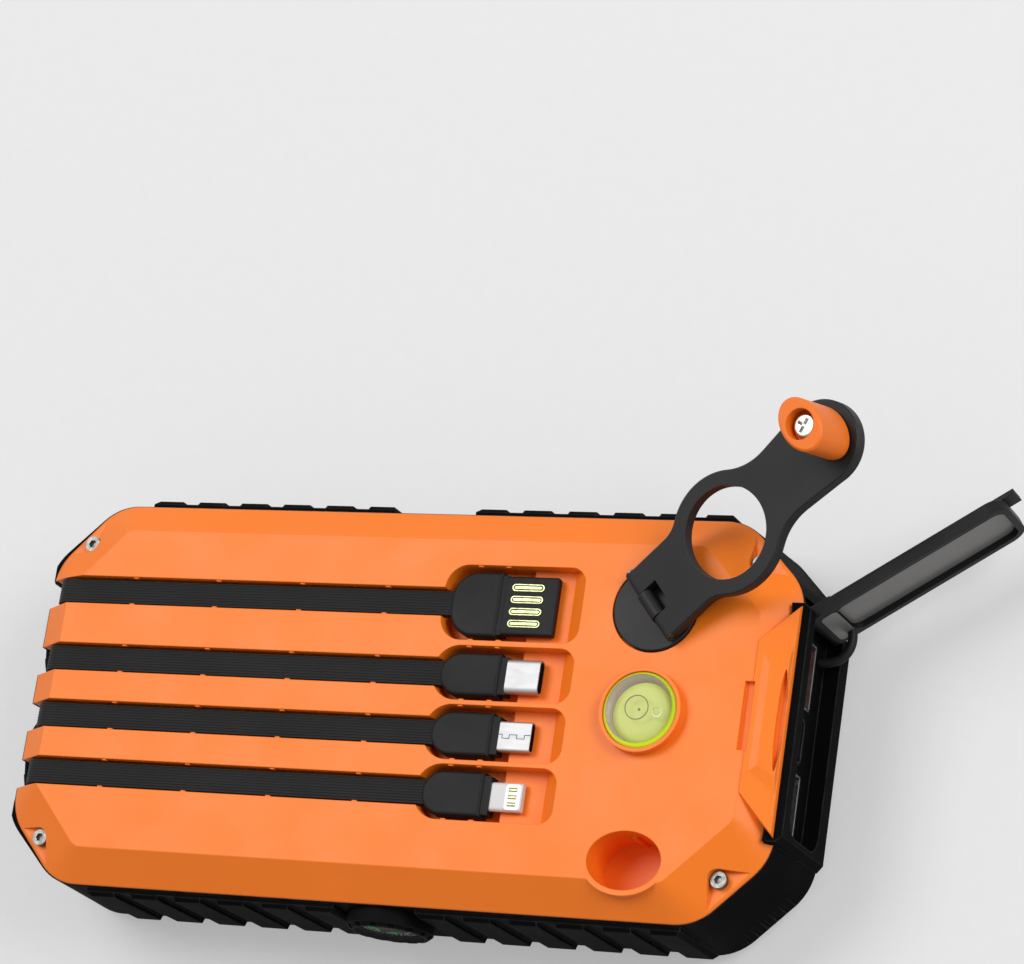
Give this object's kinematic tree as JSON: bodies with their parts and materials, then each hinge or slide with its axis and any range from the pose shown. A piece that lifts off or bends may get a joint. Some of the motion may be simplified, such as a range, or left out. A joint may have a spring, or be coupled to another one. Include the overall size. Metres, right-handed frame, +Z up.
{
  "type": "hand crank phone charger",
  "caption": "Rugged solar power bank with a folding hand crank, built-in charging cables, round level, compass, lamps and flap over its ports.",
  "frame": {"origin": "middle of the front (solar) face, which it rests on", "axes": "+X towards the end with the ports, -X towards the lamps, -Y towards the compass, +Z up out of the back with the crank"},
  "size_m": [0.2072, 0.102, 0.0585],
  "materials": {
    "orange_shell": "fine satin orange moulding",
    "solar_cell": "dark laminated solar cell",
    "light_pipe": "clear light pipe",
    "black_bumper": "matt black soft moulding",
    "screw_steel": "plated steel",
    "screw_bright": "bright plated steel",
    "cable_black": "ribbed soft jacket",
    "plug_black": "satin black moulding",
    "plug_steel": "bright drawn shell",
    "plug_white": "white moulding with plated contacts",
    "contact_gold": "gold plated contacts",
    "crank_black": "fine matt black moulding",
    "knob_orange": "fine satin orange moulding",
    "bush_brass": "turned brass",
    "gear_white": "white moulded gear",
    "rotor_steel": "steel",
    "plate_grey": "grey moulding",
    "magnet_dark": "dark magnet",
    "socket_steel": "drawn steel socket with plastic tongue",
    "board_green": "green circuit board",
    "door_black": "soft black flap",
    "bezel_black": "black moulding",
    "reflector_chrome": "metallised reflector",
    "clear_lens": "clear lens",
    "led_white": "light emitter on a small board",
    "compass_dial": "black dial with green marks",
    "button_black": "black key",
    "switch_grey": "small switch",
    "clear_vial": "clear moulded vial",
    "level_yellow": "yellow green fluid",
    "cell_silver": "foil pouch cell"
  },
  "bodies": {
    "case": {"front_frame": "orange_shell", "back_shell": "orange_shell", "solar_panel": "solar_cell", "light_pipes": "light_pipe", "bumper_frame": "black_bumper", "case_screws": "screw_steel", "cable_roots": "cable_black", "crank_bush": "bush_brass", "gear_plate": "plate_grey", "gear_axles": "screw_steel", "generator_case": "rotor_steel", "generator_magnets": "magnet_dark", "usb_a_sockets": "socket_steel", "usb_c_socket": "socket_steel", "port_board": "board_green", "door_pin": "screw_steel", "door_tether": "door_black", "lamp_bezels": "bezel_black", "lamp_reflectors": "reflector_chrome", "lamp_lenses": "clear_lens", "lamp_leds": "led_white", "compass_bezel": "bezel_black", "compass_lens": "clear_lens", "compass_pivot": "bush_brass", "button_switch": "switch_grey", "level_vial": "clear_vial", "level_fluid": "level_yellow", "battery_cells": "cell_silver", "main_board": "board_green"},
    "crank": {"crank_hub": "crank_black", "crank_gear": "gear_white"},
    "arm": {"crank_arm": "crank_black", "hinge_pin": "screw_steel", "knob_screw": "screw_bright"},
    "knob": {"crank_knob": "knob_orange"},
    "door": {"port_door": "door_black"},
    "button": {"power_button": "button_black"},
    "compass_needle_card": {"compass_card": "compass_dial"},
    "idler_1": {"idler_gear_1": "gear_white"},
    "idler_2": {"idler_gear_2": "gear_white"},
    "rotor": {"generator_rotor": "rotor_steel"},
    "usb_a_cable": {"usb_a_ribbon": "cable_black", "usb_a_plug_body": "plug_black", "usb_a_plug_tip": "plug_black", "usb_a_contacts": "contact_gold"},
    "usb_c_cable": {"usb_c_ribbon": "cable_black", "usb_c_plug_body": "plug_black", "usb_c_plug_tip": "plug_steel"},
    "micro_usb_cable": {"micro_usb_ribbon": "cable_black", "micro_usb_plug_body": "plug_black", "micro_usb_plug_tip": "plug_steel"},
    "eight_pin_cable": {"eight_pin_ribbon": "cable_black", "eight_pin_plug_body": "plug_black", "eight_pin_plug_tip": "plug_white"}
  },
  "joints": [
    {"name": "crank_spin", "type": "hinge", "parent": "case", "child": "crank", "pos_m": [0.0547, 0.02045, 0.0329], "axis": [0, 0, 1], "continuous": true},
    {"name": "crank_fold", "type": "hinge", "parent": "crank", "child": "arm", "pos_m": [0.0547, 0.02045, 0.0329], "axis": [0.6428, -0.766, 0], "range_deg": [0, 150]},
    {"name": "knob_spin", "type": "hinge", "parent": "arm", "child": "knob", "pos_m": [0.09155, 0.05137, 0.04579], "axis": [-0.1983, -0.1664, 0.9659], "continuous": true},
    {"name": "port_door_swing", "type": "hinge", "parent": "case", "child": "door", "pos_m": [0.0839, 0.022, 0.0164], "axis": [0, 0, 1], "range_deg": [-124, 15], "deforming": ["door_tether"]},
    {"name": "power_button_press", "type": "slide", "parent": "case", "child": "button", "axis": [0, -1, 0], "range_m": [0, 0.0008], "stiffness_N_per_m": 800},
    {"name": "compass_turn", "type": "hinge", "parent": "case", "child": "compass_needle_card", "pos_m": [0.002, -0.042, 0.016], "axis": [0, 1, 0], "continuous": true},
    {"name": "usb_a_cable_lift", "type": "hinge", "parent": "case", "child": "usb_a_cable", "pos_m": [-0.0784, 0.0204, 0.0261], "axis": [0, -1, 0], "range_deg": [0, 75]},
    {"name": "usb_c_cable_lift", "type": "hinge", "parent": "case", "child": "usb_c_cable", "pos_m": [-0.0784, 0.0061, 0.0261], "axis": [0, -1, 0], "range_deg": [0, 75]},
    {"name": "micro_usb_cable_lift", "type": "hinge", "parent": "case", "child": "micro_usb_cable", "pos_m": [-0.0784, -0.0059, 0.0261], "axis": [0, -1, 0], "range_deg": [0, 75]},
    {"name": "eight_pin_cable_lift", "type": "hinge", "parent": "case", "child": "eight_pin_cable", "pos_m": [-0.0784, -0.0179, 0.0261], "axis": [0, -1, 0], "range_deg": [0, 75]},
    {"name": "idler_1_spin", "type": "hinge", "parent": "case", "child": "idler_1", "pos_m": [0.03753, 0.01185, 0.018], "axis": [0, 0, 1], "continuous": true},
    {"name": "idler_2_spin", "type": "hinge", "parent": "case", "child": "idler_2", "pos_m": [0.03205, -0.00655, 0.018], "axis": [0, 0, 1], "continuous": true},
    {"name": "rotor_spin", "type": "hinge", "parent": "case", "child": "rotor", "pos_m": [0.01803, -0.01967, 0.018], "axis": [0, 0, 1], "continuous": true}
  ],
  "couplings": [
    {"joint": "idler_1_spin", "follows": "crank_spin", "ratio": -3},
    {"joint": "idler_2_spin", "follows": "crank_spin", "ratio": 9},
    {"joint": "rotor_spin", "follows": "crank_spin", "ratio": -27}
  ]
}
